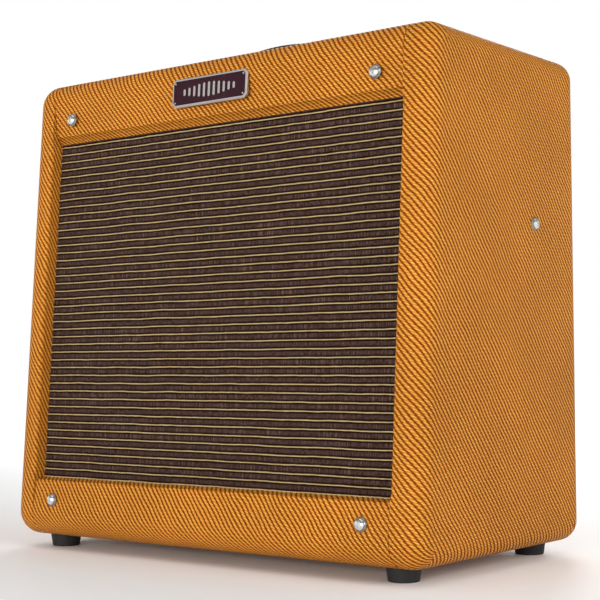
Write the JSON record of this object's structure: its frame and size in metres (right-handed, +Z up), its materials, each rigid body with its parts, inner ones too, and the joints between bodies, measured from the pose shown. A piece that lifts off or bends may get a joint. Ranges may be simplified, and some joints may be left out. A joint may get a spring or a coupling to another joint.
{
  "type": "guitar amplifier",
  "caption": "Small valve guitar combo: tweed cabinet with leaning front, grille cloth, ten-inch speaker, top control panel, strap handle and open back.",
  "frame": {"origin": "on the floor under the middle of the cabinet", "axes": "+Z up, -Y towards the listener (front), +X to the right seen from the front"},
  "size_m": [0.406, 0.239, 0.4056],
  "materials": {
    "tweed_board": "lacquered tweed cloth over plywood",
    "bare_wood": "bare plywood",
    "grille_cloth": "woven cloth with gold lines",
    "bright_metal": "polished",
    "nameplate_enamel": "satin",
    "strap_leather": "grained",
    "foot_rubber": "matte",
    "zinc_steel": "zinc plated",
    "chassis_chrome": "chrome plated",
    "jack_plastic": "matte",
    "pot_metal": "plated",
    "knob_plastic": "gloss",
    "jewel_red": "faceted",
    "fuse_glass": "clear",
    "socket_ceramic": "ceramic",
    "valve_glass": "clear",
    "electrode_grey": "dull",
    "transformer_steel": "satin black",
    "circuit_fibre": "fibre",
    "component_mix": "gloss",
    "basket_enamel": "hammered grey",
    "magnet_ferrite": "matte",
    "motor_steel": "zinc plated",
    "speaker_paper": "paper",
    "spider_cloth": "treated cloth",
    "coil_copper": "wound wire",
    "terminal_fibre": "fibre board",
    "lead_pvc": "smooth"
  },
  "bodies": {
    "cabinet": {"side_board_left": "tweed_board", "side_board_right": "tweed_board", "top_board": "tweed_board", "bottom_board": "tweed_board", "upper_front_rail": "tweed_board", "lower_front_rail": "tweed_board", "upper_back_panel": "tweed_board", "lower_back_panel": "tweed_board", "baffle_board": "bare_wood", "cleats": "bare_wood", "grille_cloth": "grille_cloth", "oval_screws": "bright_metal", "screw_cups": "bright_metal", "nameplate_frame": "bright_metal", "nameplate_bars": "bright_metal", "handle_caps": "bright_metal", "handle_screws": "bright_metal", "hex_nuts": "bright_metal", "jewel_bezel": "bright_metal", "nameplate_field": "nameplate_enamel", "rubber_feet": "foot_rubber", "foot_screws": "zinc_steel", "board_standoffs": "zinc_steel", "speaker_screws": "zinc_steel", "chassis": "chassis_chrome", "jack_sockets": "jack_plastic", "mains_inlet": "jack_plastic", "speaker_plug": "jack_plastic", "power_switch": "jack_plastic", "pots": "pot_metal", "fuse_holder": "knob_plastic", "jewel_lens": "jewel_red", "fuse": "fuse_glass", "valve_sockets": "socket_ceramic", "valve_glass": "valve_glass", "valve_electrodes": "electrode_grey", "power_transformer_core": "transformer_steel", "power_transformer_bells": "transformer_steel", "output_transformer": "transformer_steel", "circuit_board": "circuit_fibre", "board_components": "component_mix", "speaker_basket": "basket_enamel", "speaker_magnet": "magnet_ferrite", "speaker_motor_plates": "motor_steel", "speaker_surround": "speaker_paper", "speaker_gasket": "speaker_paper", "speaker_spider": "spider_cloth", "speaker_terminals": "terminal_fibre", "speaker_lead": "lead_pvc"},
    "volume_control": {"volume_shaft": "pot_metal", "volume_knob": "knob_plastic"},
    "tone_control": {"tone_shaft": "pot_metal", "tone_knob": "knob_plastic"},
    "power_lever": {"switch_lever": "pot_metal"},
    "fuse_cap": {"fuse_cap": "knob_plastic"},
    "speaker_cone_assembly": {"speaker_cone": "speaker_paper", "dust_cap": "speaker_paper", "voice_coil": "coil_copper"},
    "handle": {"handle_strap": "strap_leather"}
  },
  "joints": [
    {"name": "volume_turn", "type": "hinge", "parent": "cabinet", "child": "volume_control", "pos_m": [-0.068, 0.072, 0.381], "axis": [0, 0, 1], "range_deg": [-150, 150]},
    {"name": "tone_turn", "type": "hinge", "parent": "cabinet", "child": "tone_control", "pos_m": [-0.018, 0.072, 0.381], "axis": [0, 0, 1], "range_deg": [-150, 150]},
    {"name": "power_toggle", "type": "hinge", "parent": "cabinet", "child": "power_lever", "pos_m": [0.082, 0.072, 0.3804], "axis": [1, 0, 0], "range_deg": [-26, 0]},
    {"name": "fuse_cap_turn", "type": "hinge", "parent": "cabinet", "child": "fuse_cap", "pos_m": [0.128, 0.072, 0.381], "axis": [0, 0, 1], "range_deg": [0, 60]},
    {"name": "cone_travel", "type": "slide", "parent": "cabinet", "child": "speaker_cone_assembly", "axis": [0, -0.9976, 0.0692], "range_m": [-0.0015, 0.0015], "stiffness_N_per_m": 4000, "deforming": ["speaker_surround", "speaker_spider"]},
    {"name": "handle_lift", "type": "slide", "parent": "cabinet", "child": "handle", "axis": [0, 0, 1], "range_m": [0, 0.003]}
  ]
}
